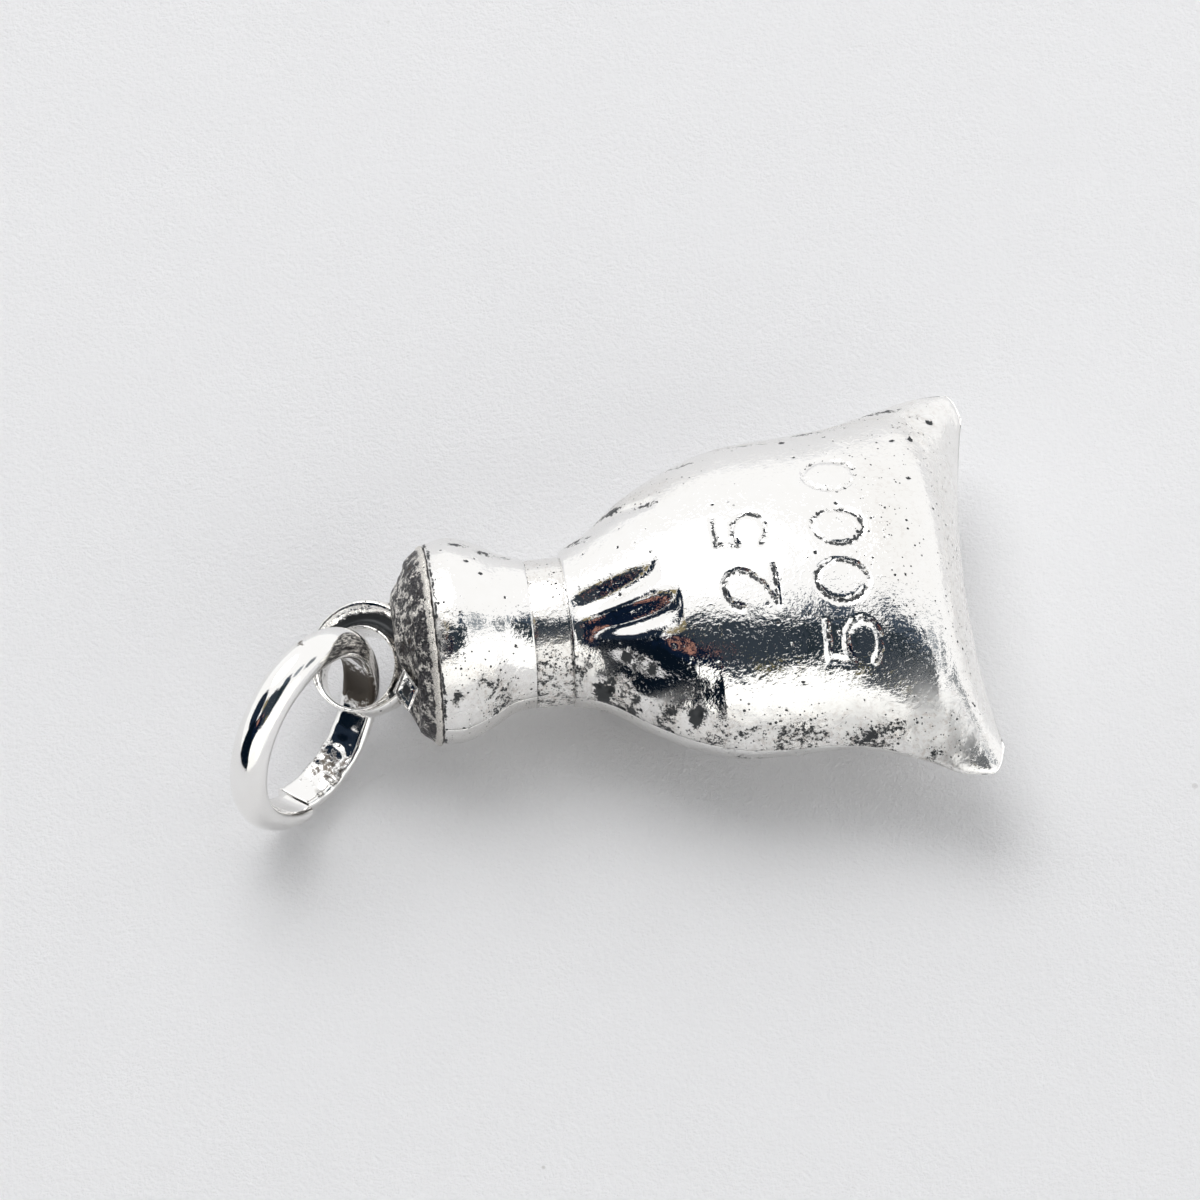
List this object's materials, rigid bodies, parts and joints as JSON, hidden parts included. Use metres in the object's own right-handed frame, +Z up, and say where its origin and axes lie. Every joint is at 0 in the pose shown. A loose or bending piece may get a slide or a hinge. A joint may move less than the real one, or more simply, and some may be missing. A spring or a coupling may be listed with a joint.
{
  "type": "money bag charm",
  "caption": "Small silver charm shaped as a tied money bag, hollow, with a drilled eye and an open jump ring to hang it from a bracelet or chain.",
  "frame": {"origin": "on the table under the middle of the charm's bounding box, as it lies on its back", "axes": "+X from the mouth of the bag to its base, +Y across the bag to its far side in the picture, +Z up out of the bag's face"},
  "size_m": [0.0222, 0.0126, 0.0062],
  "materials": {
    "front_silver": "polished cast silver with a fine orange-peel grain and small dark pits",
    "back_silver": "polished cast silver, a little duller, with dark pits",
    "tie_silver": "polished silver strip with pits along both edges",
    "oxidised_silver": "rough silver darkened by age, bright only on its worn edge",
    "eye_silver": "worn silver, bright on the rims and dark in the hollows",
    "solder": "lumpy silver solder darkened by age",
    "tab_silver": "plain silver lozenge, dark in the middle",
    "ring_silver": "smooth polished silver wire"
  },
  "bodies": {
    "bag": {"bag_front_shell": "front_silver", "bag_back_shell": "back_silver", "tie_band": "tie_silver", "mouth_plate": "oxidised_silver", "eye_loop": "eye_silver", "eye_solder": "solder", "lozenge_tab": "tab_silver"},
    "ring": {"jump_ring": "ring_silver"}
  },
  "joints": [
    {"name": "ring_swing", "type": "hinge", "parent": "bag", "child": "ring", "pos_m": [-0.00783, -0.00136, 0.00275], "axis": [0.7209, -0.6652, 0.1942], "range_deg": [-8, 82]}
  ]
}
